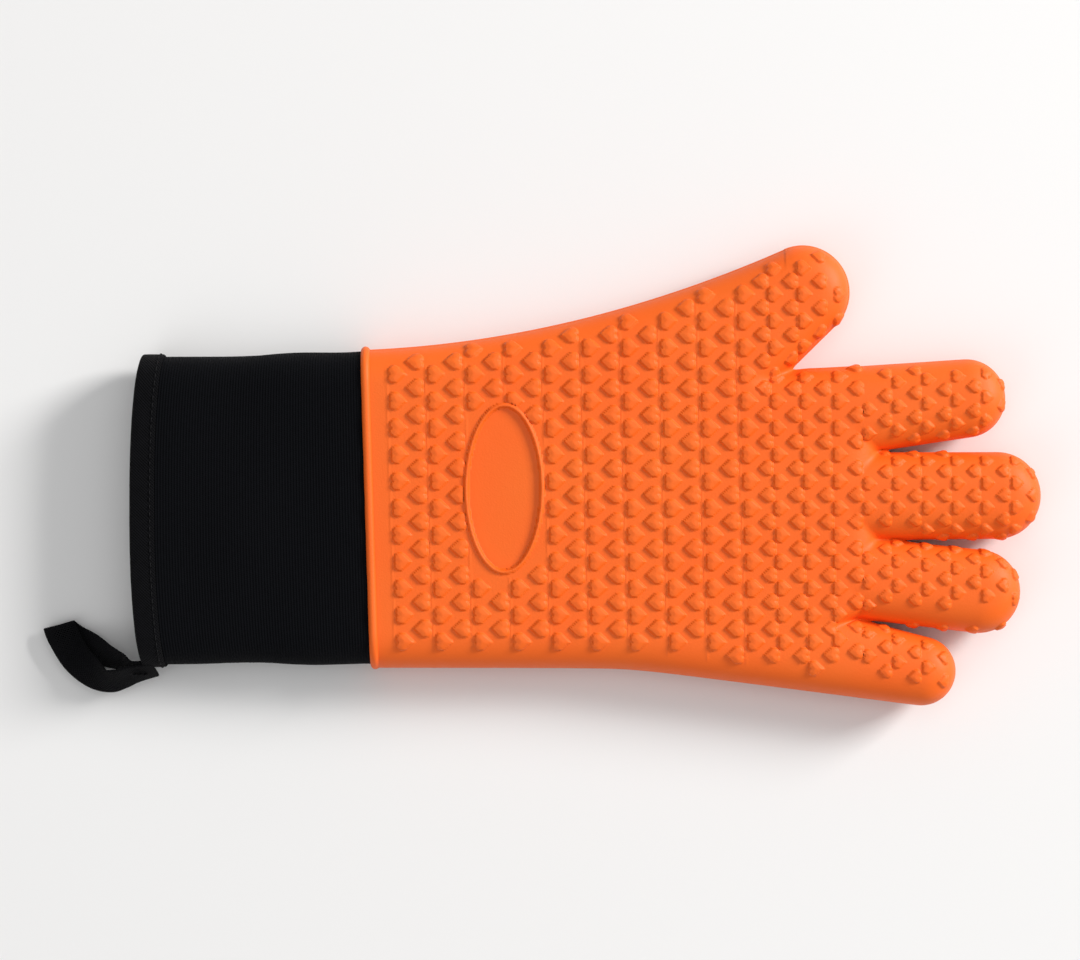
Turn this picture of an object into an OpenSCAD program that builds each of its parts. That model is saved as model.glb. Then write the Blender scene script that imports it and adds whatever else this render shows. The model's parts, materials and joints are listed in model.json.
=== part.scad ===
// Heat resistant glove: a moulded silicone hand over a quilted cotton liner,
// with a sewn fabric cuff and a hanging loop. It lies flat, palm plate up:
// +X runs to the fingertips, +Y to the thumb, +Z up from the resting face.
// The origin is the middle of the wrist rim, on the resting face.

/* [Hand] */
// Thickness of the silicone hand, front to back, with the hearts
hand_t = 28; // [24:1:34]
// Width of the hand at the wrist
wrist_w = 128; // [116:1:150]
// Wrist rim to the fold under the four fingers
palm_l = 184; // [170:1:215]
// Radius of the rounded edge all round the hand
edge_r = 12; // [8:0.5:14]
// Wall of the silicone moulding
skin_t = 2; // [1.5:0.1:3]
// Thickness of the quilted liner
liner_t = 2.5; // [1.5:0.1:3]

/* [Fingers] */
// Width of the index finger
index_w = 33; // [30:0.5:40]
// Width of the middle finger
middle_w = 34.5; // [30:0.5:40]
// Width of the ring finger
ring_w = 34.5; // [30:0.5:40]
// Width of the little finger
little_w = 28; // [27:0.5:34]
// Fold to tip of the index finger
index_l = 72; // [64:1:84]
// Fold to tip of the middle finger
middle_l = 86; // [76:1:98]
// Fold to tip of the ring finger
ring_l = 78; // [70:1:90]
// Fold to tip of the little finger
little_l = 52; // [48:1:62]
// Gap between neighbouring fingers
finger_gap = 2; // [1.5:0.5:4]
// Angle at which the little finger leans away from the others
little_lean = 8; // [0:1:9]
// Fold to the web between the longer fingers
web_l = 22; // [16:1:26]
// Fold to the web beside the little finger
little_web_l = 8; // [6:1:12]
// Fold to the index finger's middle joint
index_joint_l = 42; // [38:1:46]
// Fold to the middle finger's middle joint
middle_joint_l = 44; // [38:1:50]
// Fold to the ring finger's middle joint
ring_joint_l = 41; // [38:1:46]
// Fold to the little finger's middle joint
little_joint_l = 25; // [23:1:28]

/* [Thumb] */
// Width of the thumb at its tip
thumb_w = 38; // [32:0.5:44]
// Width of the thumb at its root
thumb_root_w = 42; // [38:0.5:46]
// Angle between the thumb and the fingers
thumb_angle = 37; // [30:1:45]
// Length of the thumb past its web
thumb_l = 43; // [38:1:54]
// Web to the thumb's joint
thumb_joint_l = 8; // [6:0.5:12]
// Distance from the web back to the fold under the fingers
web_back = 18; // [14:1:24]

/* [Joints] */
// Largest fold under the fingers, in degrees
fold_max = 80; // [40:5:90]
// Largest bend of a finger's middle joint, in degrees
bend_max = 90; // [40:5:90]
// Largest bend of the thumb, in degrees
thumb_max = 60; // [30:5:70]
// Largest fold of the cuff at the wrist, in degrees
wrist_max = 25; // [10:5:35]
// Depth of the folding axes under the palm face
axis_depth = 8; // [6:0.5:10]
// Gap between sections that turn against each other
joint_gap = 0.4; // [0.3:0.1:0.8]

/* [Rim and badge] */
// Width of the moulded rim at the wrist
rim_w = 3.6; // [2.5:0.1:5]
// Height of the rim above the hand
rim_h = 1.2; // [0.8:0.1:2]
// Length of the blank oval badge, across the hand
badge_l = 69; // [50:1:80]
// Width of the badge, along the hand
badge_w = 32; // [24:1:40]
// Wrist to the badge's middle
badge_x = 54; // [48:1:70]
// Offset of the badge's middle towards the thumb
badge_y = 8; // [0:1:12]
// Width of the badge's raised rim
badge_rim_w = 2; // [1.5:0.5:3]
// Height of the badge's rim, and depth of its sunken face
badge_h = 0.8; // [0.5:0.1:1]

/* [Cuff] */
// Length of the fabric cuff
cuff_l = 94; // [70:1:120]
// Thickness of the cuff lying flat, at its hem
cuff_t = 27; // [22:1:32]
// Outer fabric's thickness
fabric_t = 1; // [0.8:0.1:1.5]
// Batting's thickness
batting_t = 2; // [1:0.5:3]
// Lining's thickness
lining_t = 0.8; // [0.6:0.1:1.2]
// Width of the bound hem at the opening
hem_w = 10; // [8:1:14]
// Thickness of the hem's binding tape
hem_t = 0.8; // [0.5:0.1:1]
// Thickness of the sewing thread
thread_t = 0.5; // [0.4:0.1:0.8]

/* [Hanging loop] */
// Width of the loop's tape
tape_w = 13; // [10:1:16]
// Thickness of the loop's tape
tape_t = 1.8; // [1.2:0.1:2]
// Reach of the loop from the end of its tab
loop_l = 36; // [30:1:50]
// Clear width inside the loop
loop_gap = 8; // [6:0.5:12]
// Length of tape sewn to the hem's side
loop_tab_l = 8; // [6:1:9]
// Angle at which the loop lies from the cuff's length
loop_lean = 15; // [0:5:20]

/* [Hidden] */

ORANGE = [0.96, 0.43, 0.15];
COTTON = [0.86, 0.84, 0.78];
BLACK = [0.05, 0.05, 0.06];

// Longer than the glove, and taller than anything that is cut
far = 400;
clear = 20;
round_fn = 48;
hull_fn = 32;

axis_z = hand_t - axis_depth;
round_r = min(edge_r, hand_t / 2 - 1);

// How the outlines of neighbouring sections run into each other
knuckle_drop = 6.5;
root_tuck = 3;
little_flare = 2;
wrist_run = 40;
root_run = 30;
thumb_tuck = 12;
web_run = 24;
tip_steps = 10;

// The sweep from the wrist to the thumb: share of the palm's length, distance
// out from the wrist's width
sweep = [[0.6, 18], [0.3, 6]];

// Fingers from the thumb side: width, fold to tip, fold to joint, lean
fingers = [
  [index_w, index_l, index_joint_l, 0],
  [middle_w, middle_l, middle_joint_l, 0],
  [ring_w, ring_l, ring_joint_l, 0],
  [little_w, little_l, little_joint_l, -little_lean]
];
knuckle_top = wrist_w / 2 - knuckle_drop;
function finger_y(i) =
  i == 0 ? knuckle_top - fingers[0][0] / 2
         : finger_y(i - 1) - (fingers[i - 1][0] + fingers[i][0]) / 2 - finger_gap;
knuckle_low = finger_y(3) - fingers[3][0] / 2 + root_tuck;

web = [palm_l - web_back, knuckle_top];
thumb_dir = [cos(thumb_angle), sin(thumb_angle)];
thumb_side = [-sin(thumb_angle), cos(thumb_angle)];
thumb_tip = web + (thumb_l - thumb_w / 2) * thumb_dir + thumb_w / 2 * thumb_side;
thumb_root = web + thumb_joint_l * thumb_dir + thumb_root_w * thumb_side;

function arc(c, r, a0, a1, n) =
  [for (k = [0:n]) let (a = a0 + (a1 - a0) * k / n) c + r * [cos(a), sin(a)]];

// The hand is one outline with its thumb; the fold under the fingers cuts it
heel = [[-wrist_run, -wrist_w / 2], [palm_l / 2, -wrist_w / 2], [palm_l, knuckle_low]];
finger_roots = [
  [palm_l + little_web_l, knuckle_low - little_flare],
  [palm_l + little_web_l, finger_y(3) + fingers[3][0] / 2],
  [palm_l + web_l, finger_y(2) - fingers[2][0] / 2 + root_tuck],
  [palm_l + web_l, knuckle_top - root_tuck],
  web
];
thumb_side_edge = concat(
  [thumb_root],
  [for (p = sweep) [p[0] * palm_l, wrist_w / 2 + p[1]]],
  [[0, wrist_w / 2], [-wrist_run, wrist_w / 2]]
);
thumb_arc = arc(thumb_tip, thumb_w / 2, thumb_angle - 90, thumb_angle + 90, tip_steps);
hand_outline = concat(heel, finger_roots, thumb_arc, thumb_side_edge);
palm_outline = concat(heel, finger_roots, [thumb_root - thumb_tuck * thumb_side], thumb_side_edge);

// A point from which the hand's whole outline is seen, thumb included
hand_middle = [0.6 * palm_l, 0.7 * knuckle_top];

thumb_outline = concat([web - web_run * thumb_dir], thumb_arc, [thumb_root, thumb_root - root_run * thumb_dir]);

function finger_outline(i) =
  let (w = fingers[i][0], l = fingers[i][1])
  concat(
    [[-root_run, -w / 2]],
    arc([l - w / 2, 0], w / 2, -90, 90, tip_steps),
    [[-root_run, w / 2]]
  );

// Corner i of an outline moved inwards by d, on the line that splits its angle
function normal(a, b) = let (v = b - a) [v[1], -v[0]] / norm(v);
function inset(p, i, d) =
  let (
    n = len(p),
    n1 = normal(p[(i + n - 1) % n], p[i]),
    n2 = normal(p[i], p[(i + 1) % n])
  )
  p[i] - d * (n1 + n2) / (1 + n1 * n2);

// The rounded edge at corner i, from the lower face to the upper one
edge_steps = 4;
function edge_profile(p, i, depth) =
  let (r = round_r - depth)
  [for (top = [0, 1]) for (k = [0:edge_steps])
    let (
      a = 90 * k / edge_steps,
      q = inset(p, i, depth + r * (1 - sin(a))),
      z = depth + r * (1 - cos(a))
    )
    [q[0], q[1], top ? hand_t - z : z]];

// A cushion-shaped solid over an outline: flat faces and a rounded edge, built
// as wedges round the point middle. Its surface lies depth inside the hand's.
module pillow(outline, depth, middle) {
  n = len(outline);
  for (i = [0:n - 1]) {
    points = concat(
      edge_profile(outline, i, depth),
      edge_profile(outline, (i + 1) % n, depth),
      [for (z = [depth, hand_t - depth]) [middle[0], middle[1], z]]
    );
    hull() polyhedron(points, [[for (k = [0:len(points) - 1]) k]]);
  }
}

module finger_pillow(i, depth) {
  translate([palm_l, finger_y(i), 0])
    rotate([0, 0, fingers[i][3]])
      pillow(finger_outline(i), depth, [0, 0]);
}

module hand_pillow(depth) {
  pillow(hand_outline, depth, hand_middle);
}

module palm_pillow(depth) {
  pillow(palm_outline, depth, hand_middle);
}

module thumb_pillow(depth) {
  pillow(thumb_outline, depth, (web + thumb_root) / 2);
}

// Everything on the far side of a joint at x, with the palm side slanted so
// that the two sections close up on each other at the joint's largest bend
module beyond(x, bend) {
  half = joint_gap / 2;
  lean = (hand_t + clear - axis_z) * tan(bend / 2);
  translate([x, far / 2, 0])
    rotate([90, 0, 0])
      linear_extrude(far)
        polygon([
          [half, -clear], [far, -clear], [far, hand_t + clear],
          [half + lean, hand_t + clear], [half, axis_z]
        ]);
}

module before(x, bend) {
  translate([x, 0, 0]) mirror([1, 0, 0]) translate([-x, 0, 0]) beyond(x, bend);
}

module at_thumb() {
  translate([web[0], web[1], 0]) rotate([0, 0, thumb_angle]) children();
}

module beyond_thumb_joint() {
  at_thumb() beyond(thumb_joint_l, thumb_max);
}

// Where the thumb is cut off the hand: past its joint, up to its inner edge
module thumb_space() {
  at_thumb()
    difference() {
      translate([0, -joint_gap, -clear]) cube([far, 2 * thumb_root_w, hand_t + 2 * clear]);
      before(thumb_joint_l, thumb_max);
    }
}

module slab(x0, x1) {
  translate([x0, -far / 2, -clear]) cube([x1 - x0, far, hand_t + 2 * clear]);
}

function joint_x(i) = palm_l + fingers[i][2];

// One layer of each section, from depth a to depth b inside the outer face
module hand_layer(a, b) {
  intersection() {
    difference() {
      hand_pillow(a);
      hand_pillow(b);
      thumb_space();
    }
    before(palm_l, fold_max);
    slab(-rim_w / 4, far);
  }
}

module knuckle_layer(a, b) {
  intersection() {
    difference() {
      union() {
        palm_pillow(a);
        for (i = [0:3])
          intersection() {
            finger_pillow(i, a);
            before(joint_x(i), bend_max);
          }
      }
      palm_pillow(b);
      for (i = [0:3]) finger_pillow(i, b);
    }
    beyond(palm_l, fold_max);
  }
}

module finger_layer(i, a, b) {
  intersection() {
    difference() {
      finger_pillow(i, a);
      finger_pillow(i, b);
    }
    beyond(joint_x(i), bend_max);
  }
}

module thumb_layer(a, b) {
  intersection() {
    difference() {
      thumb_pillow(a);
      thumb_pillow(b);
    }
    beyond_thumb_joint();
  }
}

module rim() {
  intersection() {
    difference() {
      palm_pillow(-rim_h);
      palm_pillow(skin_t / 2);
    }
    slab(-rim_w / 2, rim_w / 2);
    translate([-far / 2, -far / 2, skin_t / 4]) cube(far);
  }
}

module oval(l, w) {
  steps = 60;
  polygon([for (k = [1:steps]) let (a = 360 * k / steps) [w / 2 * cos(a), l / 2 * sin(a)]]);
}

module badge_rim() {
  translate([badge_x, badge_y, hand_t - skin_t / 2])
    linear_extrude(skin_t / 2 + badge_h)
      difference() {
        oval(badge_l, badge_w);
        oval(badge_l - 2 * badge_rim_w, badge_w - 2 * badge_rim_w);
      }
}

module badge_hollow() {
  translate([badge_x, badge_y, hand_t - badge_h])
    linear_extrude(badge_h + clear)
      oval(badge_l - badge_rim_w, badge_w - badge_rim_w);
}

module shell_hand() {
  color(ORANGE) {
    difference() {
      hand_layer(0, skin_t);
      badge_hollow();
    }
    rim();
    badge_rim();
  }
}

module shell_knuckles() {
  color(ORANGE) knuckle_layer(0, skin_t);
}

module shell_finger(i) {
  color(ORANGE) finger_layer(i, 0, skin_t);
}

module shell_thumb() {
  color(ORANGE) thumb_layer(0, skin_t);
}

liner_in = skin_t + liner_t;

module liner_hand() {
  color(COTTON) hand_layer(skin_t, liner_in);
}

module liner_knuckles() {
  color(COTTON) knuckle_layer(skin_t, liner_in);
}

module liner_finger(i) {
  color(COTTON) finger_layer(i, skin_t, liner_in);
}

module liner_thumb() {
  color(COTTON) thumb_layer(skin_t, liner_in);
}

// Thread that joins the liner to the cuff's lining, just inside the rim
module wrist_seam() {
  color(BLACK)
    intersection() {
      difference() {
        palm_pillow(liner_in);
        palm_pillow(liner_in + thread_t);
      }
      slab(rim_w / 2, rim_w / 2 + thread_t);
    }
}

// The cuff is a flattened tube of layers, listed from the outside in
cuff_x = -rim_w / 2 - joint_gap;
hem_x = cuff_x - cuff_l;
cuff_z = cuff_t / 2;

module flat_tube(x0, x1, depth, wall) {
  translate([x0, 0, cuff_z])
    rotate([90, 0, 90])
      linear_extrude(x1 - x0)
        difference() {
          flat_ring(depth);
          flat_ring(depth + wall);
        }
}

module flat_ring(depth) {
  r = cuff_z - depth;
  reach = wrist_w / 2 - cuff_z;
  hull() {
    for (side = [-1, 1]) translate([side * reach, 0]) circle(r, $fn = round_fn);
  }
}

// The wedges that the rim turns into when the cuff folds at the wrist
module wrist_relief() {
  lean = cuff_t * tan(wrist_max);
  for (s = [0, 1])
    translate([cuff_x, far / 2, cuff_z])
      rotate([90, 0, 0])
        mirror([0, s, 0])
          linear_extrude(far)
            polygon([[0, 0], [joint_gap, 0], [joint_gap, cuff_t], [-lean, cuff_t]]);
}

module cuff_layer(depth, wall) {
  difference() {
    flat_tube(hem_x + hem_t, cuff_x, depth, wall);
    wrist_relief();
  }
}

module cuff_outer() {
  color(BLACK) cuff_layer(hem_t, fabric_t);
}

module cuff_batting() {
  color(COTTON) cuff_layer(hem_t + fabric_t, batting_t);
}

module cuff_lining() {
  color(BLACK) cuff_layer(hem_t + fabric_t + batting_t, lining_t);
}

cuff_in = hem_t + fabric_t + batting_t + lining_t;

// A line of thread round the hem, pulled into its binding
hem_margin = 2;
module stitch_line() {
  start = hem_x + hem_w - hem_margin;
  flat_tube(start, start + thread_t, 0, thread_t);
}

module hem_binding() {
  color(BLACK)
    difference() {
      flat_tube(hem_x, hem_x + hem_w, 0, cuff_in + hem_t);
      flat_tube(hem_x + hem_t, hem_x + hem_w + clear, hem_t, cuff_in - hem_t);
      stitch_line();
    }
}

module hem_stitching() {
  color(BLACK) stitch_line();
}

// The loop's tape stands on edge at the cuff's little-finger side. Both of its
// ends are sewn to the hem as the tab, and the rest swings where it leaves it.
tab_y = -wrist_w / 2 - tape_t;
loop_root = [hem_x - tape_t - joint_gap, tab_y];
loop_end_r = loop_gap / 2 + tape_t;

module band(x, r, wall) {
  difference() {
    hull() {
      circle(wall, $fn = hull_fn);
      translate([x, 0]) circle(r + wall, $fn = hull_fn);
    }
    hull() {
      translate([2 * wall, 0]) circle(wall / 4, $fn = hull_fn);
      translate([x, 0]) circle(r, $fn = hull_fn);
    }
  }
}

module hanging_loop() {
  color(BLACK)
    translate([loop_root[0], loop_root[1], cuff_z - tape_w / 2])
      rotate([0, 0, 180 - loop_lean])
        linear_extrude(tape_w)
          band(loop_l - loop_end_r, loop_gap / 2, tape_t);
}

module loop_tab() {
  color(BLACK)
    translate([hem_x, tab_y - tape_t, cuff_z - tape_w / 2])
      cube([loop_tab_l, 2 * tape_t, tape_w]);
}

// Bars of close stitches that hold the tab to the hem
tack_bars = 3;
tack_margin = 1;
module loop_bar_tack() {
  low = [hem_x - thread_t, tab_y - tape_t - thread_t, cuff_z - tape_w / 2 + tack_margin];
  color(BLACK)
    for (k = [1:tack_bars])
      translate(low + [k * loop_tab_l / (tack_bars + 1), 0, 0])
        cube([2 * thread_t, thread_t, tape_w - 2 * tack_margin]);
}

shell_hand();
shell_knuckles();
shell_finger(0);  // shell_index
shell_finger(1);  // shell_middle
shell_finger(2);  // shell_ring
shell_finger(3);  // shell_little
shell_thumb();
liner_hand();
liner_knuckles();
liner_finger(0);  // liner_index
liner_finger(1);  // liner_middle
liner_finger(2);  // liner_ring
liner_finger(3);  // liner_little
liner_thumb();
wrist_seam();
cuff_outer();
cuff_batting();
cuff_lining();
hem_binding();
hem_stitching();
hanging_loop();
loop_tab();
loop_bar_tack();
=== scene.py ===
"""A heat resistant glove lying flat: moulded silicone hand, quilted liner, fabric cuff and tape loop."""

import json
import math

import bpy
import numpy as np
import openvdb
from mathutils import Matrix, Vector, kdtree


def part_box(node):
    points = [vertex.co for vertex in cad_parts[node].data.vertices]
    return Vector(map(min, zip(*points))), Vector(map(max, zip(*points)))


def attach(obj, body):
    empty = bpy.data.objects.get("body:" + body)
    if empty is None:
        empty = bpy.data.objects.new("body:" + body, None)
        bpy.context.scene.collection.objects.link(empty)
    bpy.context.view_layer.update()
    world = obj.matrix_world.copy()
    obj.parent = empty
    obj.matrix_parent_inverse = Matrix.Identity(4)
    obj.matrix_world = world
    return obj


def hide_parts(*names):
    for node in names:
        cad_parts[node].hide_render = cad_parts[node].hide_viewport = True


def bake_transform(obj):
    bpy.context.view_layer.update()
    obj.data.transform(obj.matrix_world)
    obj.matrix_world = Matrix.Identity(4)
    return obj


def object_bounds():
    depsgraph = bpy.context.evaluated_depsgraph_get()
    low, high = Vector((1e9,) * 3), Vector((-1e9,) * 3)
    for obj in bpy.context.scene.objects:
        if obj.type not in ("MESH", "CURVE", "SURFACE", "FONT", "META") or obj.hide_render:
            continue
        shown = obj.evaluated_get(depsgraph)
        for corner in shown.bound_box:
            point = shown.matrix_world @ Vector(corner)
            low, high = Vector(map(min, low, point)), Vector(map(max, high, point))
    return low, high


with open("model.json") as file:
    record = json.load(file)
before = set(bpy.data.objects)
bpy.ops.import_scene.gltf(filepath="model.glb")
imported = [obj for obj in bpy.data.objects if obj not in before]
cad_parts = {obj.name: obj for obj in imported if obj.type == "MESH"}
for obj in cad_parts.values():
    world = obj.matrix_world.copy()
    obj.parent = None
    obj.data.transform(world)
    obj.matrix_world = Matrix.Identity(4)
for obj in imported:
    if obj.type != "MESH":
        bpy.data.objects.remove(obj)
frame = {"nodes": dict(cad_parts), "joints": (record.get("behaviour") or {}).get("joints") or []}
cad_low, cad_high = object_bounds()

MM = 0.001


def node_box(name):
    """A CAD node's lowest and highest corners, in millimetres."""
    low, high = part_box(name)
    return np.array(low) / MM, np.array(high) / MM


def joint(name):
    """A joint's place and axis, in millimetres."""
    found = next(j for j in frame["joints"] if j["name"] == name)
    return np.array(found["pos_m"]) / MM, np.array(found["axis"])


# ---------------------------------------------------------------- sizes, in millimetres

HAND_LOW, HAND_HIGH = node_box("shell_hand")
HEM_LOW, HEM_HIGH = node_box("hem_binding")
WRIST_HALF = (HEM_HIGH[1] - HEM_LOW[1]) / 2
HEM_X = HEM_LOW[0]
MID_Z = 14.0
HEART_H = 1.45
HALF_T = MID_Z - HEART_H - 0.25
EDGE_R = 15.0
EDGE_POWER = 2.4
WRIST_LEAN = 0.031
RIM_W = 3.6
RIM_H = 1.4
RIM_SINK = 0.4
VOXEL = 0.66
LINER_DEPTH = 3.2
LINER_CELL = 1.6

FOLD_X = joint("knuckle_fold")[0][0]
WEB = np.array([162.0, 55.0])
THUMB_TANGENT_X = 166.6
PALM_END = FOLD_X + 20
LITTLE_WEB_X = FOLD_X + 8

# The hand's two side edges: slope and sweep to the thumb, and slope past a soft corner to the little finger
THUMB_EDGE_SLOPE = 0.045
THUMB_EDGE_SWEEP = 0.00118
LITTLE_EDGE_SLOPE = 0.130
LITTLE_EDGE_CORNER_X = 104
LITTLE_EDGE_SOFTNESS = 150
THUMB_ROOT_ROUND = 3.0
FINGER_ROOT_ROUND = 2.2

# Each digit is a tapered round-ended bar: root centre and radius, tip centre and radius
DIGITS = {
    "index": ((FOLD_X - 6, 37.4), 18.2, (node_box("shell_index")[1][0] - 16.0, 44.1), 15.6),
    "middle": ((FOLD_X - 6, 4.6), 17.6, (node_box("shell_middle")[1][0] - 17.4, 5.0), 17.3),
    "ring": ((FOLD_X - 6, -26.0), 16.2, (node_box("shell_ring")[1][0] - 17.0, -33.6), 16.6),
    "little": ((FOLD_X - 6, -57.4), 16.8, (node_box("shell_little")[1][0] - 13.6, -65.7), 13.7),
    "thumb": ((136.0, 62.0), 27.7, (174.1, 86.8), 18.6),
}
FINGERS = ("index", "middle", "ring", "little")

BADGE = np.array([54.0, 7.8])
BADGE_HALF = np.array([16.2, 34.4])
BADGE_RIM_W = 2.1


# ---------------------------------------------------------------- the glove's shape


def bar(x, y, a, ra, b, rb):
    """Signed distance to a tapered round-ended bar, negative inside."""
    a, b = np.array(a), np.array(b)
    length = np.linalg.norm(b - a)
    u = (b - a) / length
    along = (x - a[0]) * u[0] + (y - a[1]) * u[1]
    across = np.abs((x - a[0]) * -u[1] + (y - a[1]) * u[0])
    slope = (ra - rb) / length
    cosine = math.sqrt(1 - slope * slope)
    k = -across * slope + along * cosine
    near_a = np.hypot(across, along) - ra
    near_b = np.hypot(across, along - length) - rb
    side = across * cosine + along * slope - ra
    return np.where(k < 0, near_a, np.where(k > cosine * length, near_b, side))


def join(a, b, k):
    """The smaller of two distances, with their meeting rounded over k."""
    h = np.clip(0.5 + 0.5 * (b - a) / k, 0, 1)
    return b * (1 - h) + a * h - k * h * (1 - h)


def soft_step(t):
    """A smooth rise from 0 to 1."""
    t = np.clip(t, 0, 1)
    return t * t * (3 - 2 * t)


def thumb_side(x):
    """The hand's edge on the thumb side: it sweeps out from the wrist to the thumb."""
    reach = np.maximum(x, 0)
    return WRIST_HALF - 0.6 + THUMB_EDGE_SLOPE * reach + THUMB_EDGE_SWEEP * reach**2


def little_side(x):
    """The hand's edge on the little finger's side: straight, then slanting out past half way."""
    past = x - LITTLE_EDGE_CORNER_X
    bend = (past + np.sqrt(past * past + LITTLE_EDGE_SOFTNESS)) / 2
    return -WRIST_HALF - 0.2 - LITTLE_EDGE_SLOPE * bend


def outline(x, y):
    """Signed distance to the glove's outline seen from above, negative inside."""
    end = PALM_END - (PALM_END - LITTLE_WEB_X) * soft_step((-38 - y) / 10)
    palm = np.maximum.reduce([
        (y - thumb_side(x)) * 0.95,
        little_side(x) - y,
        x - end,
        np.minimum((x - WEB[0]) * 0.85 + (y - WEB[1]) * 0.53, y - WEB[1]),
    ])
    d = join(palm, bar(x, y, *DIGITS["thumb"]), THUMB_ROOT_ROUND)
    d = np.where(x < THUMB_TANGENT_X, np.maximum(d, (y - thumb_side(x)) * 0.95), d)
    for name in FINGERS:
        d = join(d, bar(x, y, *DIGITS[name]), FINGER_ROOT_ROUND)
    return np.where(x < DIGITS["little"][2][0], np.maximum(d, little_side(x) - y), d)


def shape(p, inside=0.0):
    """About the distance outside the glove's plain surface, or outside the surface at a depth inside it."""
    d = -outline(p[:, 0], p[:, 1]) - inside
    r = EDGE_R - inside
    t = np.clip(1 - d / r, 0, None)
    h = np.abs(p[:, 2] - MID_Z) / (HALF_T - inside)
    return ((h**EDGE_POWER + t**EDGE_POWER) ** (1 / EDGE_POWER) - 1) * (HALF_T - inside)


def gradient(p, inside=0.0, step=0.05):
    """The way out of the surface at each point, not yet of length 1."""
    out = np.empty_like(p)
    for k in range(3):
        e = np.zeros(3)
        e[k] = step
        out[:, k] = (shape(p + e, inside) - shape(p - e, inside)) / (2 * step)
    return out


def unit(v):
    """Each row scaled to length 1."""
    return v / np.maximum(np.linalg.norm(v, axis=1, keepdims=True), 1e-9)


def settle(p, inside=0.0, rounds=4):
    """Moves points onto the surface."""
    for _ in range(rounds):
        g = gradient(p, inside)
        size = np.maximum((g * g).sum(1), 0.05)
        move = (shape(p, inside) / size)[:, None] * g
        p = p - np.clip(move, -0.8, 0.8)
    return p


def skin_mesh(cell, inside=0.0):
    """The surface as points and quads of about one cell, cut open at the wrist."""
    low = np.array([-6.0, HAND_LOW[1] - 8, -2.0])
    high = np.array([node_box("shell_middle")[1][0] + 4, HAND_HIGH[1] + 16, 2 * MID_Z + 2])
    n = np.ceil((high - low) / cell).astype(int)
    axes = [low[k] + cell * np.arange(n[k]) for k in range(3)]
    x, y = np.meshgrid(axes[0], axes[1], indexing="ij")
    flat = np.column_stack([x.ravel(), y.ravel(), np.zeros(x.size)])
    d = -outline(flat[:, 0], flat[:, 1]).reshape(x.shape) - inside
    t = np.clip(1 - d / (EDGE_R - inside), 0, None)[:, :, None]
    h = (np.abs(axes[2] - MID_Z) / (HALF_T - inside))[None, None, :]
    field = (h**EDGE_POWER + t**EDGE_POWER) ** (1 / EDGE_POWER) - 1
    grid = openvdb.FloatGrid(3.0)
    grid.copyFromArray((field * HALF_T / cell).astype(np.float32))
    points, quads = grid.convertToQuads(0.0)
    points = np.array(points, float) * cell + low
    quads = np.array(quads, int)
    mids = points[quads].mean(1)
    quads = quads[mids[:, 0] > -RIM_W / 2 - WRIST_LEAN * mids[:, 1] + 0.6]
    used, quads = np.unique(quads, return_inverse=True)
    return settle(points[used], inside), quads.reshape(-1, 4)


# ---------------------------------------------------------------- the raised hearts

PAIR_PITCH = 15.6
PAIR_STEP = 6.8
FIRST_COLUMN = 12.8
PALM_COLUMNS = 10
FINGER_PITCH = 5.9
PALM_ROW = 10.7
FINGER_ROW = 9.8
HEART_LENGTH = 7.5
HEART_WIDTH = 7.9
PLAIN_BAND = 9.5
LEAST_GAP = 6.1
EDGE_CLEAR = 3.4
ROW_END_CLEAR = 2.6
PALM_END_HEART = 0.86
FINGER_HEART = 0.76
HEART_REACH = 6.5
BADGE_CLEAR = 1.2
BADGE_RIM_H = 1.2
BADGE_SINK = 0.9
PARTING_H = 0.35
PARTING_W = 0.9
PAIR_LINE_H = 0.13
PAIR_LINE_W = 0.8
SLOPE_STEP = 0.1


def columns():
    """Every heart column: its x, which way its hearts point, its row pitch and the hearts' size."""
    out = []
    for k in range(PALM_COLUMNS):
        x = FIRST_COLUMN + k * PAIR_PITCH
        out.append((x, 1, PALM_ROW, 1.0))
        if k < PALM_COLUMNS - 1:
            out.append((x + PAIR_STEP, -1, PALM_ROW, 1.0))
    last = FIRST_COLUMN + (PALM_COLUMNS - 1) * PAIR_PITCH
    end = node_box("shell_middle")[1][0]
    count = int((end - last) / FINGER_PITCH)
    for k in range(1, count + 1):
        x = last + k * FINGER_PITCH
        on_palm = x < PALM_END - 6
        way = -1 if k % 2 else 1
        out.append((x, way, PALM_ROW, PALM_END_HEART) if on_palm else (x, way, FINGER_ROW, FINGER_HEART))
    return out


def height_at(x, y):
    """Half thickness of the glove over a point of its plan, or 0 outside it."""
    d = -outline(x, y)
    t = np.clip(1 - d / EDGE_R, 0, 1)
    return HALF_T * (1 - t**EDGE_POWER) ** (1 / EDGE_POWER)


def valleys(x):
    """Where a column at x crosses the valleys that run on between the digits' roots."""
    out = [WEB[1] + 1] if x > WEB[0] - 4 else []
    for upper, lower in zip(FINGERS, FINGERS[1:]):
        start = LITTLE_WEB_X if lower == "little" else PALM_END - 6
        if x > start:
            side = DIGITS[upper][0][1] - DIGITS[upper][1]
            out.append((side + DIGITS[lower][0][1] + DIGITS[lower][1]) / 2)
    return out


def crossings(x):
    """The stretches of y that a column at x crosses, as (low, high)."""
    y = np.arange(HAND_LOW[1] - 8, HAND_HIGH[1] + 16, 0.1)
    here = x - WRIST_LEAN * y * (x < FOLD_X)
    inside = outline(here, y) < 0
    edges = np.flatnonzero(np.diff(inside.astype(int)))
    out = []
    for low, high in zip(y[edges[::2]], y[edges[1::2]]):
        cuts = [low] + sorted(v for v in valleys(x) if low + 3 < v < high - 3) + [high]
        out += zip(cuts, cuts[1:])
    return out


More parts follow.
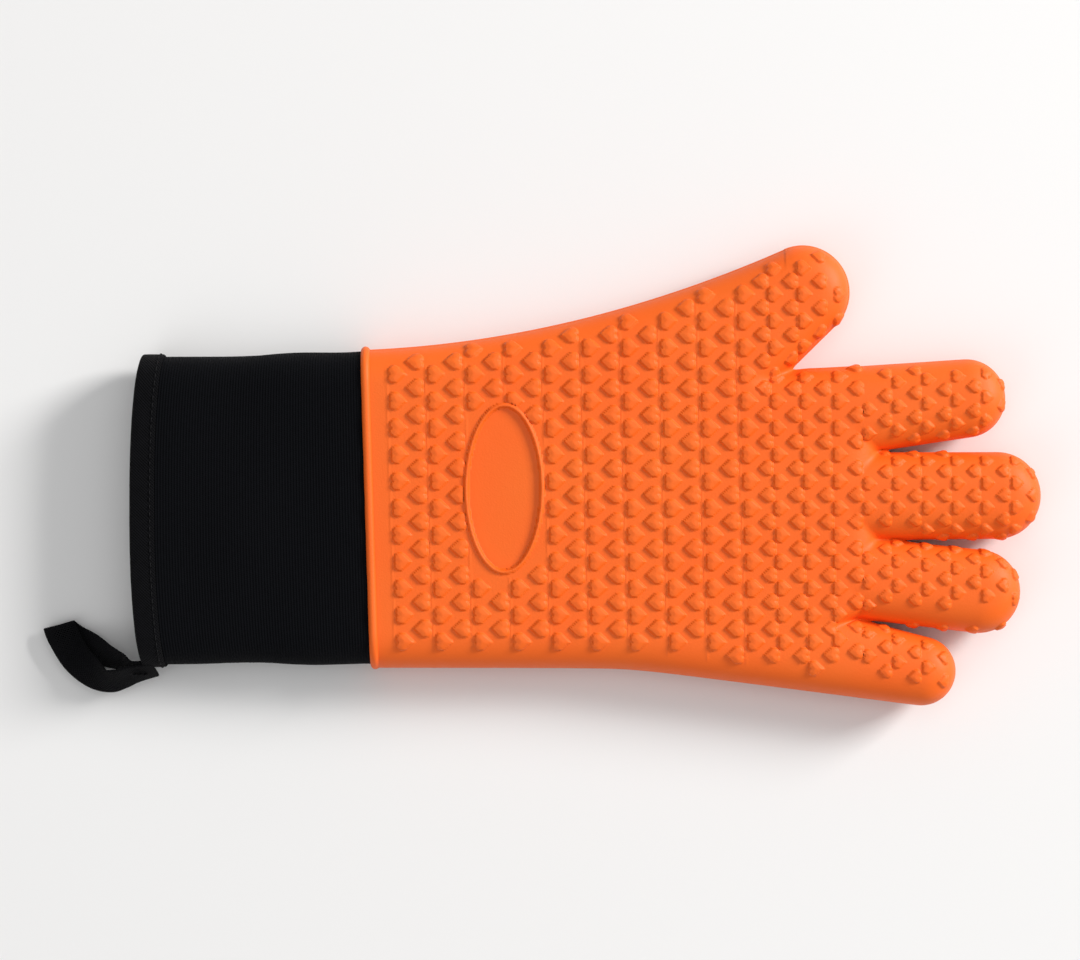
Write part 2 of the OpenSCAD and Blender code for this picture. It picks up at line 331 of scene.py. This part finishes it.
def digit_at(x, y):
    """Which digit a plan point lies on, or None on the palm."""
    if x < PALM_END - 6 and not (y < -44 and x > LITTLE_WEB_X):
        return None
    near = {n: float(bar(np.array(x), np.array(y), *DIGITS[n])) for n in FINGERS}
    best = min(near, key=near.get)
    return best if near[best] < 1 else None


def heart_centres():
    """All hearts in plan, set out along the curved surface: x, y, direction, size, room above and below."""
    out = []
    for x, way, row, size in columns():
        for low, high in crossings(x):
            middle = (low + high) / 2
            digit = digit_at(x, middle)
            if digit:
                a, _, b, _ = DIGITS[digit]
                lean = (b[1] - a[1]) / (b[0] - a[0])
                anchor = row * round(a[1] / row) + lean * (x - PALM_END + 6)
            elif low > WEB[1] - 4:
                anchor = row * round(DIGITS["thumb"][2][1] / row)
            else:
                anchor = row * round(middle / row)
            anchor += 0 if way > 0 else row / 2
            y = np.arange(low, high, 0.05)
            z = height_at(x - WRIST_LEAN * y * (x < FOLD_X), y)
            s = np.concatenate([[0], np.cumsum(np.hypot(np.diff(y), np.diff(z)))])
            s -= np.interp(anchor, y, s)
            for k in range(math.ceil(s[0] / row), int(s[-1] / row) + 1):
                out.append((x, float(np.interp(k * row, s, y)), way, size, s[-1] - k * row, k * row - s[0]))
    return out


def kept_hearts():
    """The hearts that the mould really has: none on the plain side bands, and none over another."""
    out = []
    for x, y, way, size, to_high, to_low in heart_centres():
        px = x - WRIST_LEAN * y * (x < FOLD_X)
        d = -float(outline(np.array(px), np.array(y)))
        on_digit = digit_at(px, y)
        low_side = y < 0 and (on_digit in (None, "little")) and px < node_box("shell_little")[1][0]
        near_little_edge = low_side and y - float(little_side(np.array(px))) < PLAIN_BAND
        if near_little_edge and (on_digit is None or y < -60):
            continue
        if on_digit is None and d < EDGE_CLEAR and (px < WEB[0] - 12 or y > WEB[1] + 25):
            continue
        if min(to_high, to_low) < ROW_END_CLEAR:
            continue
        if any(math.hypot(px - other[0], y - other[1]) < LEAST_GAP for other in out):
            continue
        out.append((px, y, way, size))
    return out


def heart_distance(u, v):
    """Signed distance to a heart of length and width 1 whose tip points along +u."""
    y = 0.5 - u
    x = np.abs(v) * 1.207
    y = y * 1.08
    top = np.hypot(x - 0.25, y - 0.75) - 0.3536
    ridge = 0.5 * np.maximum(x + y, 0)
    low = np.sqrt(np.minimum(x**2 + (y - 1) ** 2, (x - ridge) ** 2 + (y - ridge) ** 2)) * np.sign(x - y)
    return np.where(x + y > 1, top, low)


def heart_top(u, v, size):
    """How far a heart stands out at a point: steep rounded sides and a domed top."""
    length = HEART_LENGTH * size
    d = (heart_distance(1.16 * u / length, 1.16 * v / (HEART_WIDTH * size)) / 1.16 - 0.06) * length
    rise = soft_step(-d / 0.85 + 0.15)
    dome = 0.72 + 0.28 * soft_step(-d / 3.0)
    return HEART_H * rise * dome * (0.45 + 0.55 * size)


def badge_distance(p):
    """About the distance outside the oval badge's edge."""
    q = (p[:, :2] - BADGE) / BADGE_HALF
    r = np.maximum(np.linalg.norm(q, axis=1), 1e-3)
    slope = np.linalg.norm(q / BADGE_HALF, axis=1)
    return (r - 1) * r / np.maximum(slope, 1e-3)


def badge_relief(p):
    """The badge's raised rim and its smooth sunken face, on the palm face."""
    away = badge_distance(p)
    rim = np.clip(1 - ((away + BADGE_RIM_W / 2) / (BADGE_RIM_W / 2)) ** 2, 0, 1) ** 0.5
    sunk = soft_step((-away - BADGE_RIM_W * 0.6) / 1.1)
    return np.where(p[:, 2] > MID_Z, BADGE_RIM_H * rim - BADGE_SINK * sunk, 0)


def parting_line(p):
    """The faint ridge where the two halves of the mould met."""
    d = outline(p[:, 0], p[:, 1])
    thumb_edge = (p[:, 1] > 40) & (p[:, 0] < DIGITS["thumb"][2][0] + 20)
    level = np.abs(p[:, 2] - MID_Z - 2.0)
    ridge = PARTING_H * np.exp(-((level / PARTING_W) ** 2))
    return ridge * (d > -3.0) * np.where(thumb_edge, 1.4, 0.8)


def pair_lines(p):
    """Faint ridges that divide the palm's pairs of heart columns."""
    x = p[:, 0] + WRIST_LEAN * p[:, 1] - FIRST_COLUMN + 4.3
    off = np.abs(x - PAIR_PITCH * np.round(x / PAIR_PITCH))
    inside = soft_step((-outline(p[:, 0], p[:, 1]) - 6) / 3)
    inside *= (x > -2) * (x < PAIR_PITCH * PALM_COLUMNS - 8)
    return PAIR_LINE_H * soft_step(1 - off / PAIR_LINE_W) * inside * soft_step((badge_distance(p) - 0.5) / 2)


def relief(points, normals):
    """Points raised by the mould's relief, and the raised surface's normals."""
    raised = np.zeros(len(points))
    slope = np.zeros_like(points)
    tree = kdtree.KDTree(len(points))
    for i, p in enumerate(points):
        tree.insert(p, i)
    tree.balance()
    hearts = kept_hearts()
    xy = np.array([[h[0], h[1]] for h in hearts])
    off_badge = badge_distance(xy) > BADGE_CLEAR
    for face in (1, -1):
        z = MID_Z + face * (height_at(xy[:, 0], xy[:, 1]) - 0.02)
        centres = settle(np.column_stack([xy, z]))
        ups = unit(gradient(centres))
        for (_, _, way, size), c, n, shown in zip(hearts, centres, ups, off_badge):
            if face > 0 and not shown:
                continue
            forward = np.array([1.0, 0, 0]) - n[0] * n
            forward *= way / np.linalg.norm(forward)
            across = np.cross(n, forward)
            found = np.array([i for _, i, _ in tree.find_range(c, HEART_REACH)], int)
            if not len(found):
                continue
            found = found[normals[found] @ n > 0.2]
            r = points[found] - c
            u, v = r @ forward, r @ across
            h = heart_top(u, v, size)
            e = SLOPE_STEP
            along = (heart_top(u + e, v, size) - heart_top(u - e, v, size)) / (2 * e)
            sideways = (heart_top(u, v + e, size) - heart_top(u, v - e, size)) / (2 * e)
            higher = h > raised[found]
            found = found[higher]
            raised[found] = h[higher]
            slope[found] = np.outer(along[higher], forward) + np.outer(sideways[higher], across)
    clear = np.where(points[:, 2] > MID_Z, soft_step((badge_distance(points) - 0.1) / 0.8), 1)
    raised *= clear
    slope *= clear[:, None]
    for extra in (badge_relief, parting_line, pair_lines):
        raised += extra(points)
        for k, e in enumerate(np.eye(3) * SLOPE_STEP):
            slope[:, k] += (extra(points + e) - extra(points - e)) / (2 * SLOPE_STEP)
    slope -= (slope * normals).sum(1)[:, None] * normals
    return points + raised[:, None] * normals, unit(normals - slope)


# ---------------------------------------------------------------- meshes


def make_object(name, points, faces, normals=None, uv=None):
    """A smooth mesh object from points in millimetres, with normals and cloth coordinates if given."""
    mesh = bpy.data.meshes.new(name)
    mesh.from_pydata((np.asarray(points) * MM).tolist(), [], [list(map(int, face)) for face in faces])
    mesh.polygons.foreach_set("use_smooth", [True] * len(mesh.polygons))
    if uv is not None:
        layer = mesh.uv_layers.new(name="cloth")
        loops = np.empty(len(mesh.loops), int)
        mesh.loops.foreach_get("vertex_index", loops)
        layer.data.foreach_set("uv", np.asarray(uv)[loops].ravel())
    mesh.validate()
    if normals is not None:
        mesh.normals_split_custom_set_from_vertices(normals.tolist())
    obj = bpy.data.objects.new(name, mesh)
    bpy.context.scene.collection.objects.link(obj)
    return obj


def vertex_normals(points, quads):
    """The quads' own normals, averaged at each point."""
    a = points[quads[:, 2]] - points[quads[:, 0]]
    b = points[quads[:, 3]] - points[quads[:, 1]]
    n = np.cross(a, b)
    out = np.zeros_like(points)
    for k in range(4):
        np.add.at(out, quads[:, k], n)
    return unit(out)


def part_of(mids):
    """Which piece each face belongs to: the thumb and fingertips are cut off where their bodies are rigid."""
    out = np.full(len(mids), "hand", dtype=object)
    x, y = mids[:, 0], mids[:, 1]
    for name in FINGERS:
        pivot = joint(name + "_bend")[0][0]
        start = LITTLE_WEB_X + 5.5 if name == "little" else PALM_END + 8
        near = np.argmin([bar(x, y, *DIGITS[n]) for n in FINGERS], axis=0) == FINGERS.index(name)
        out[(x > min(start, pivot - 9)) & near] = name
    place, axis = joint("thumb_bend")
    along = np.array([-axis[1], axis[0]])
    s = (mids[:, :2] - place[:2]) @ along
    t = (mids[:, :2] - place[:2]) @ np.array([axis[0], axis[1]])
    out[(s > -4.5) & (t < 6) & (x < 205) & (y > 54)] = "thumb"
    return out


def split(prefix, points, quads, normals):
    """One object for each section that bends on its own."""
    side = part_of(points[quads].mean(1))
    out = {}
    for name in ("hand", "thumb") + FINGERS:
        chosen = quads[side == name]
        used, local = np.unique(chosen, return_inverse=True)
        out[name] = make_object(f"{prefix}_{name}", points[used], local.reshape(-1, 4), normals[used])
    return out


def bend_sections(sections):
    """Bakes each section's placement into its points."""
    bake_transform(sections["hand"])
    for name in FINGERS:
        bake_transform(sections[name])
    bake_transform(sections["thumb"])


def ring_points(half_w, half_t, inside, count):
    """A flattened ring, round at its sides: even points, the ways out, and how far round each lies."""
    r = EDGE_R - inside
    t = np.sin(np.linspace(0, math.pi / 2, 60))
    corner_y = half_w - inside - r + r * t
    corner_z = (half_t - inside) * (1 - np.clip(t, 0, 1) ** EDGE_POWER) ** (1 / EDGE_POWER)
    quarter = np.column_stack([corner_y, corner_z])[::-1]
    fine = np.vstack([quarter, quarter[::-1] * [-1, 1], quarter * [-1, -1], quarter[::-1] * [1, -1]])
    closed = np.vstack([fine, fine[:1]])
    s = np.concatenate([[0], np.cumsum(np.hypot(*np.diff(closed, axis=0).T))])
    at = np.linspace(0, s[-1], count, endpoint=False)
    yz = np.column_stack([np.interp(at, s, closed[:, 0]), np.interp(at, s, closed[:, 1])])
    along = np.roll(yz, -1, 0) - np.roll(yz, 1, 0)
    out = np.column_stack([along[:, 1], -along[:, 0]])
    return yz, out / np.linalg.norm(out, axis=1, keepdims=True), at


def ring_faces(rows, count):
    """Quads between closed rings of points that follow each other."""
    i, j = np.meshgrid(np.arange(rows - 1), np.arange(count), indexing="ij")
    k = (j + 1) % count
    return np.column_stack([(i * count + j).ravel(), (i * count + k).ravel(),
                            ((i + 1) * count + k).ravel(), ((i + 1) * count + j).ravel()])


def wrist_rim():
    """The thick rounded rim that ends the moulding at the wrist."""
    yz, out, _ = ring_points(WRIST_HALF - 0.3, HALF_T, 0.0, 320)
    section = [(math.cos(a), math.sin(a)) for a in np.radians(np.arange(0, 360, 24))]
    rows = []
    for c, s in section:
        lift = -RIM_SINK + (RIM_H + RIM_SINK) * max(s, -0.6)
        y = yz[:, 0] + out[:, 0] * lift
        z = MID_Z + yz[:, 1] + out[:, 1] * lift
        rows.append(np.column_stack([c * RIM_W / 2 - WRIST_LEAN * y, y, z]))
    count = len(yz)
    flat = np.vstack(rows + rows[:1])
    return make_object("wrist_rim", flat, ring_faces(len(rows) + 1, count))


CUFF_SHIFT = -1.2
CUFF_HALF_T = 12.8
CUFF_MID_Z = 13.4
HEM_BOW = 4.2
HEM_W = 10.0
CLOTH_T = 3.9
BATTING_DEPTH = 1.6


def hem_line(y):
    """The opening's edge: it stands out towards its middle."""
    return HEM_X + HEM_BOW * np.abs(y / WRIST_HALF) ** 2.6


def drape(x, y, z):
    """How the cuff's cloth lies: slack between the rim and the hem, with broad soft hollows."""
    u = (x - HEM_X) / -HEM_X
    slack = np.sin(math.pi * np.clip(u, 0, 1))
    top = z > 0
    broad = np.where(top, 0.75, 0.3)
    wave = (0.5 * np.sin(x / 13.0 + y / 17.0) + 0.45 * np.sin(y / 9.5 - x / 31.0 + 1.3)
            + 0.35 * np.sin(x / 7.1 - y / 23.0 + 2.1))
    gather = 0.35 * np.sin(y / 2.9 + np.sin(y / 11.0)) * np.exp(-((u - 1) / 0.07) ** 2)
    return broad * slack * wave + gather * np.where(top, 1, 0.5) - 0.6 * slack


def cuff_surface(inside, x_from, x_to, rows, count=240, lift=0.0):
    """A tube of the cuff at a depth inside its outer face, from a share of its length to another."""
    points = []
    for u in np.linspace(x_from, x_to, rows):
        half_w = WRIST_HALF - 0.9 - 0.8 * (1 - u)
        yz, out, at = ring_points(half_w, CUFF_HALF_T, inside, count)
        y = yz[:, 0] + CUFF_SHIFT * (1 - u)
        edge = hem_line(y)
        wrist = -WRIST_LEAN * y + 1.5
        x = edge + (wrist - edge) * u
        move = drape(x, y, yz[:, 1]) + lift
        y = y + out[:, 0] * move
        z = CUFF_MID_Z + yz[:, 1] + out[:, 1] * move
        points.append(np.column_stack([x, y, z]))
    return np.array(points), at


def cloth_tube(name, inside, x_from, x_to, rows):
    """One layer of the cuff."""
    points, at = cuff_surface(inside, x_from, x_to, rows)
    count = points.shape[1]
    flat = points.reshape(-1, 3)
    uv = np.column_stack([np.tile(at, rows), np.repeat(np.linspace(x_from, x_to, rows) * -HEM_X, count)]) * MM
    faces = ring_faces(rows, count)
    return make_object(name, flat, faces, uv=uv)


def hem_binding():
    """Tape folded round the cuff's edge: outside, round the end and back along the inside."""
    length = -HEM_X
    path = [(HEM_W, 0.5), (HEM_W - 0.5, 0.95), (HEM_W * 0.6, 1.0), (HEM_W * 0.3, 1.0), (1.6, 0.95)]
    centre, radius = -CLOTH_T / 2 + 0.1, CLOTH_T / 2 + 0.8
    for a in np.linspace(80, -80, 9):
        path.append((1.3 - 1.3 * math.cos(math.radians(a)), centre + radius * math.sin(math.radians(a))))
    path += [(1.6, -CLOTH_T - 0.6), (HEM_W * 0.6, -CLOTH_T - 0.7), (HEM_W, -CLOTH_T - 0.3)]
    rows, ats = [], None
    for along, lift in path:
        ring, ats = cuff_surface(0.0, along / length, along / length, 1, lift=lift)
        rows.append(ring[0])
    points = np.vstack(rows)
    count = len(rows[0])
    v = np.concatenate([[0], np.cumsum([math.dist(a, b) for a, b in zip(path, path[1:])])])
    uv = np.column_stack([np.tile(ats, len(path)), np.repeat(v, count)]) * MM
    return make_object("hem_tape", points, ring_faces(len(path), count), uv=uv)


def rod(points, radius, sides=6):
    """A thin round rod along a path, closed at both ends."""
    points = np.asarray(points, float)
    along = unit(np.gradient(points, axis=0))
    up = np.array([0.31, 0.52, 0.79])
    a = unit(np.cross(along, up))
    b = np.cross(along, a)
    turn = np.linspace(0, 2 * math.pi, sides, endpoint=False)
    cosine, sine = radius * np.cos(turn), radius * np.sin(turn)
    rings = [p + np.outer(cosine, u) + np.outer(sine, v) for p, u, v in zip(points, a, b)]
    quads = ring_faces(len(points), sides).tolist()
    n = len(points)
    caps = [list(range(sides))[::-1], [(n - 1) * sides + k for k in range(sides)]]
    return np.vstack(rings), quads + caps


def merge(parts):
    """Several sets of points and faces as one."""
    points, faces, start = [], [], 0
    for p, f in parts:
        points.append(p)
        faces += [[i + start for i in face] for face in f]
        start += len(p)
    return np.vstack(points), faces


def stitches(name, along, lift, pitch, radius):
    """A line of lockstitches round the cuff, each stitch bowed out of the cloth."""
    count = 720
    ring, at = cuff_surface(0.0, along / -HEM_X, along / -HEM_X, 1, count=count, lift=lift)
    ring = ring[0]
    total = at[-1] + at[1]
    parts = []
    steps = int(total / pitch)
    for k in range(steps):
        s = (np.linspace(0.12, 0.88, 5) + k) * total / steps
        mid = np.column_stack([np.interp(s, at, ring[:, c], period=total) for c in range(3)])
        sink = np.array([-0.35, 0.1, 0.2, 0.1, -0.35])
        out = unit(mid - np.array([mid[:, 0].mean(), 0, CUFF_MID_Z]) * [1, 0, 1])
        parts.append(rod(mid + sink[:, None] * out * [0, 1, 1], radius))
    return make_object(name, *merge(parts))


# ---------------------------------------------------------------- the hanging loop

TAPE_W = 13.0
TAPE_T = 1.3


def bezier_path(knots, per=14):
    """A smooth path through the knots."""
    knots = np.array(knots, float)
    ends = np.vstack([2 * knots[0] - knots[1], knots, 2 * knots[-1] - knots[-2]])
    out = []
    for a, b, c, d in zip(ends, ends[1:], ends[2:], ends[3:]):
        for t in np.linspace(0, 1, per, endpoint=False):
            out.append(0.5 * ((2 * b) + (c - a) * t + (2 * a - 5 * b + 4 * c - d) * t**2
                              + (3 * b - a - 3 * c + d) * t**3))
    out.append(knots[-1])
    return np.array(out)


def tape_ribbon(name, centre, width_dir, width=TAPE_W, thick=TAPE_T):
    """A flat tape along a path, with the direction of its width given at each point."""
    along = unit(np.gradient(centre, axis=0))
    wide = unit(width_dir - (width_dir * along).sum(1, keepdims=True) * along)
    out = np.cross(along, wide)
    section = [(-0.5, -0.3), (-0.46, -0.5), (0, -0.5), (0.46, -0.5), (0.5, -0.3),
               (0.5, 0.3), (0.46, 0.5), (0, 0.5), (-0.46, 0.5), (-0.5, 0.3)]
    points = np.array([[c + w * width * a + o * thick * b for a, b in section]
                       for c, w, o in zip(centre, wide, out)])
    n, m = len(centre), len(section)
    s = np.concatenate([[0], np.cumsum(np.linalg.norm(np.diff(centre, axis=0), axis=1))])
    uv = np.column_stack([np.tile([a * width for a, _ in section], n), np.repeat(s, m)]) * MM
    ends = [list(range(m))[::-1], list(range((n - 1) * m, n * m))]
    return make_object(name, points.reshape(-1, 3), ring_faces(n, m).tolist() + ends, uv=uv)


# The tape's route from its sewn end, out over the fold and back: where it runs, and how its width lies
LOOP_ROUTE = [
    ((11.5, 0.6, 0.3), (0, 0.42, 0.90)),
    ((3.0, -1.2, -0.2), (0, 0.55, 0.83)),
    ((-3.0, -3.3, -1.8), (0, 0.60, 0.80)),
    ((-8.5, -3.9, -4.0), (0.12, 0.68, 0.68)),
    ((-15.0, -0.9, -6.6), (0.45, 0.80, 0.35)),
    ((-21.5, 5.0, -8.0), (0.76, 0.62, 0.12)),
    ((-26.6, 13.2, -8.8), (0.92, 0.38, 0)),
    ((-28.6, 17.6, -10.0), (0.96, 0.27, 0)),
    ((-27.4, 15.4, -11.2), (0.97, 0.22, 0)),
    ((-22.4, 11.6, -11.2), (0.84, 0.54, 0)),
    ((-15.5, 8.6, -10.2), (0.45, 0.80, 0.35)),
    ((-7.5, 5.6, -7.2), (0.15, 0.66, 0.72)),
    ((-1.5, 3.4, -3.0), (0.05, 0.50, 0.85)),
    ((3.0, 1.0, -0.4), (0, 0.45, 0.90)),
    ((10.5, 1.9, 0.0), (0, 0.42, 0.90)),
]


def hanging_loop():
    """The tape, with both ends sewn in at the cuff's corner, lying over and creased at its far end."""
    root = joint("loop_swing")[0]
    route = bezier_path([np.hstack([root + place, wide]) for place, wide in LOOP_ROUTE])
    return tape_ribbon("loop_tape", route[:, :3], route[:, 3:])


def loop_tack():
    """Close zigzag stitches through both ends of the tape into the hem."""
    root = joint("loop_swing")[0]
    parts = []
    for x in (3.4, 5.4, 7.4):
        for z in np.arange(-5.0, 5.0, 0.55):
            a, b = np.array([x - 0.6, -1.45, z]), np.array([x + 0.6, -1.45, z + 0.3])
            bow = np.array([0, 0.25, 0])
            path = [root + a + (b - a) * t - bow * math.sin(math.pi * t) for t in (0, 0.3, 0.7, 1)]
            parts.append(rod(path, radius=0.2, sides=5))
    return make_object("loop_tack_thread", *merge(parts))


# ---------------------------------------------------------------- materials


class Value:
    """A shader value that can be added, multiplied and so on, with plain numbers on either side."""

    def __init__(self, tree, socket):
        self.tree, self.socket = tree, socket

    def math(self, kind, other=None, swapped=False):
        node = self.tree.nodes.new("ShaderNodeMath")
        node.operation = kind
        for k, term in enumerate((other, self) if swapped else (self, other)):
            if isinstance(term, Value):
                self.tree.links.new(term.socket, node.inputs[k])
            elif term is not None:
                node.inputs[k].default_value = term
        return Value(self.tree, node.outputs[0])

    def __add__(self, other):
        return self.math("ADD", other)

    def __sub__(self, other):
        return self.math("SUBTRACT", other)

    def __rsub__(self, other):
        return self.math("SUBTRACT", other, swapped=True)

    def __mul__(self, other):
        return self.math("MULTIPLY", other)

    def __truediv__(self, other):
        return self.math("DIVIDE", other)

    def __rtruediv__(self, other):
        return self.math("DIVIDE", other, swapped=True)

    __radd__ = __add__
    __rmul__ = __mul__

    def sine(self):
        return self.math("SINE")


class Material:
    """A procedural material under construction, with one method for every kind of node."""

    def __init__(self, name, color, roughness, **constants):
        self.material = bpy.data.materials.new(name)
        self.material.use_nodes = True
        self.tree = self.material.node_tree
        self.shader = self.tree.nodes["Principled BSDF"]
        self.shader.inputs["Base Color"].default_value = (*color, 1)
        self.shader.inputs["Roughness"].default_value = roughness
        for key, value in constants.items():
            self.shader.inputs[key.replace("_", " ")].default_value = value

    def node(self, kind, inputs=None, output=0, **settings):
        node = self.tree.nodes.new("ShaderNode" + kind)
        for key, value in settings.items():
            setattr(node, key, value)
        for key, value in (inputs or {}).items():
            if isinstance(value, Value):
                self.tree.links.new(value.socket, node.inputs[key])
            else:
                node.inputs[key].default_value = value
        return Value(self.tree, node.outputs[output])

    def place(self, space="Object"):
        return self.node("TexCoord", output=space)

    def noise(self, scale, detail=3.0, where=None):
        vector = where or self.place()
        return self.node("TexNoise", {"Vector": vector, "Scale": scale, "Detail": detail})

    def tint(self, factor, a, b):
        return self.node("Mix", {0: factor, 6: (*a, 1), 7: (*b, 1)}, output=2, data_type="RGBA")

    def drive(self, socket, value):
        self.tree.links.new(value.socket, self.shader.inputs[socket])

    def bump(self, height, distance, strength=1.0):
        bump = self.node("Bump", {"Height": height, "Distance": distance, "Strength": strength})
        self.drive("Normal", bump)


def silicone():
    """Moulded orange silicone, faintly mottled, with a dull shine."""
    m = Material("silicone", (0.90, 0.130, 0.008), 0.46, Specular_IOR_Level=0.32)
    broad = m.noise(28, 2)
    m.drive("Base Color", m.tint(broad, (0.92, 0.119, 0.006), (0.88, 0.150, 0.011)))
    m.drive("Roughness", m.noise(260, 3) * 0.16 + 0.46)
    m.bump(m.noise(1400, 2), 0.00008)
    return m.material


def cuff_cloth():
    """Black cloth with fine wales along the cuff."""
    m = Material("cuff_cloth", (0.002, 0.0022, 0.003), 0.9, Sheen_Weight=0.012, Sheen_Roughness=0.5,
                 Specular_IOR_Level=0.07)
    uv = m.place("UV")
    across = m.node("SeparateXYZ", {"Vector": uv}, output=0)
    along = m.node("SeparateXYZ", {"Vector": uv}, output=1)
    rib = (along * 5600.0).sine()
    pick = (across * 8200.0 + along * 2100.0).sine()
    weave = rib * 0.6 + pick * 0.4
    lint = m.noise(420, 4, uv)
    shade = weave * 0.25 + lint * 0.5 + 0.25
    m.drive("Base Color", m.tint(shade, (0.0008, 0.0009, 0.0014), (0.0038, 0.0042, 0.006)))
    m.bump(weave + lint * 0.8, 0.0002, 0.9)
    return m.material


def tape_cloth():
    """Black tape woven on the slant."""
    m = Material("tape_cloth", (0.002, 0.002, 0.0026), 0.85, Sheen_Weight=0.012, Specular_IOR_Level=0.09)
    uv = m.place("UV")
    across = m.node("SeparateXYZ", {"Vector": uv}, output=0)
    along = m.node("SeparateXYZ", {"Vector": uv}, output=1)
    weave = (across * 5200.0 + along * 5200.0).sine() + (across * 5200.0 - along * 5200.0).sine()
    m.drive("Base Color", m.tint(m.noise(300, 3, uv), (0.001, 0.001, 0.0015), (0.0045, 0.0045, 0.006)))
    m.bump(weave, 0.00022, 0.8)
    return m.material


def thread():
    """Black sewing thread."""
    m = Material("thread", (0.003, 0.003, 0.004), 0.6, Specular_IOR_Level=0.15)
    m.drive("Roughness", m.noise(900, 2) * 0.2 + 0.5)
    return m.material


def quilted_cotton():
    """Pale cotton, quilted in diamonds, with painted shade that darkens the colour along the quilting
    grooves.
    """
    m = Material("quilted_cotton", (0.66, 0.63, 0.56), 0.9, Sheen_Weight=0.2)
    where = m.place()
    x = m.node("SeparateXYZ", {"Vector": where}, output=0)
    y = m.node("SeparateXYZ", {"Vector": where}, output=1)
    a = ((x + y) * 222.0).sine().math("ABSOLUTE")
    b = ((x - y) * 222.0).sine().math("ABSOLUTE")
    quilt = a.math("MINIMUM", b).math("POWER", 0.45)
    # painted shade: the colour runs from the dark tint in the quilting grooves, where the bump sinks, to the
    # pale tint on the puffed diamonds
    m.drive("Base Color", m.tint(quilt, (0.45, 0.42, 0.36), (0.68, 0.65, 0.58)))
    m.bump(quilt + m.noise(900, 3) * 0.12, 0.0016, 0.9)
    return m.material


def dress(obj, material):
    """The piece with its material."""
    obj.data.materials.clear()
    obj.data.materials.append(material)
    return obj


# ---------------------------------------------------------------- camera and light

VIEW_W = 0.44
centre = (cad_low + cad_high) / 2
camera = bpy.data.objects.new("camera", bpy.data.cameras.new("camera"))
bpy.context.scene.collection.objects.link(camera)
bpy.context.scene.camera = camera
camera.data.lens = 120
camera.data.clip_end = 20
camera.location = (centre.x, centre.y, camera.data.lens * VIEW_W / camera.data.sensor_width)
camera.data.dof.use_dof = False

# ---------------------------------------------------------------- build

SILICONE, CLOTH, TAPE, THREAD, COTTON = silicone(), cuff_cloth(), tape_cloth(), thread(), quilted_cotton()

points, quads = skin_mesh(VOXEL)
normals = unit(gradient(points))
facing = 1 if (vertex_normals(points, quads) * normals).sum() > 0 else -1
points, normals = relief(points, normals)
skin = split("skin", points, quads[:, ::facing], normals)
bend_sections(skin)
for name, piece in skin.items():
    dress(piece, SILICONE)
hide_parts("shell_hand", "shell_knuckles")
for name in FINGERS + ("thumb",):
    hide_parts("shell_" + name)

inner, inner_quads = skin_mesh(LINER_CELL, inside=LINER_DEPTH)
liner = split("quilt", inner, inner_quads[:, ::-facing], -unit(gradient(inner, LINER_DEPTH)))
bend_sections(liner)
for name, piece in liner.items():
    dress(piece, COTTON)
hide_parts("liner_hand", "liner_knuckles")
for name in FINGERS + ("thumb",):
    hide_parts("liner_" + name)

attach(dress(wrist_rim(), SILICONE), "hand")
outer_tube = cloth_tube("cuff_cloth", inside=0.0, x_from=0.02, x_to=1.0, rows=130)
outer = dress(outer_tube, CLOTH)
fill_tube = cloth_tube("cuff_fill", inside=BATTING_DEPTH, x_from=0.03, x_to=0.99, rows=60)
fill = dress(fill_tube, COTTON)
lining_tube = cloth_tube("cuff_inner_cloth", inside=CLOTH_T, x_from=0.02, x_to=1.0, rows=90)
lining = dress(lining_tube, CLOTH)
for layer in (outer, fill, lining):
    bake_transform(layer)
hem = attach(dress(hem_binding(), TAPE), "cuff")
hem_stitches = stitches("hem_thread", along=HEM_W - 1.8, lift=1.0, pitch=2.9, radius=0.28)
hem_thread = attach(dress(hem_stitches, THREAD), "cuff")
tape_loop = dress(hanging_loop(), TAPE)
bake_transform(tape_loop)
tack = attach(dress(loop_tack(), THREAD), "cuff")
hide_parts("loop_bar_tack")
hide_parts("cuff_outer")
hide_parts("cuff_batting")
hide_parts("cuff_lining")
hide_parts("hem_binding")
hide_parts("hem_stitching")
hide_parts("hanging_loop", "loop_tab")

dress(frame["nodes"]["wrist_seam"], THREAD)

floor = bpy.data.objects.new("floor", bpy.data.meshes.new("floor"))
floor.data.from_pydata([(-4, -4, 0), (4, -4, 0), (4, 4, 0), (-4, 4, 0)], [], [(0, 1, 2, 3)])
bpy.context.scene.collection.objects.link(floor)
floor.data.materials.append(Material("pale_floor", (0.86, 0.86, 0.86), 0.9).material)
floor.location.z = min(0.0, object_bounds()[0].z) - 0.0002


def lamp(name, place, size, power, color=(1, 1, 1)):
    """A square lamp that faces the glove's middle."""
    light = bpy.data.lights.new(name, "AREA")
    light.size, light.energy, light.color = size, power, color
    obj = bpy.data.objects.new(name, light)
    bpy.context.scene.collection.objects.link(obj)
    obj.location = centre + Vector(place)
    obj.rotation_mode = "QUATERNION"
    obj.rotation_quaternion = (-Vector(place)).to_track_quat("-Z", "Y")


lamp("key", (3.1, 1.55, 1.7), 1.2, 165, (1.0, 0.98, 0.96))
lamp("fill", (-1.4, -1.2, 1.8), 1.6, 8)
lamp("top", (0.2, 0.2, 2.4), 2.0, 11)
world = bpy.data.worlds.new("studio")
world.use_nodes = True
world.node_tree.nodes["Background"].inputs["Color"].default_value = (1, 1, 1, 1)
world.node_tree.nodes["Background"].inputs["Strength"].default_value = 0.36
bpy.context.scene.world = world
bpy.context.scene.view_settings.view_transform = "Standard"
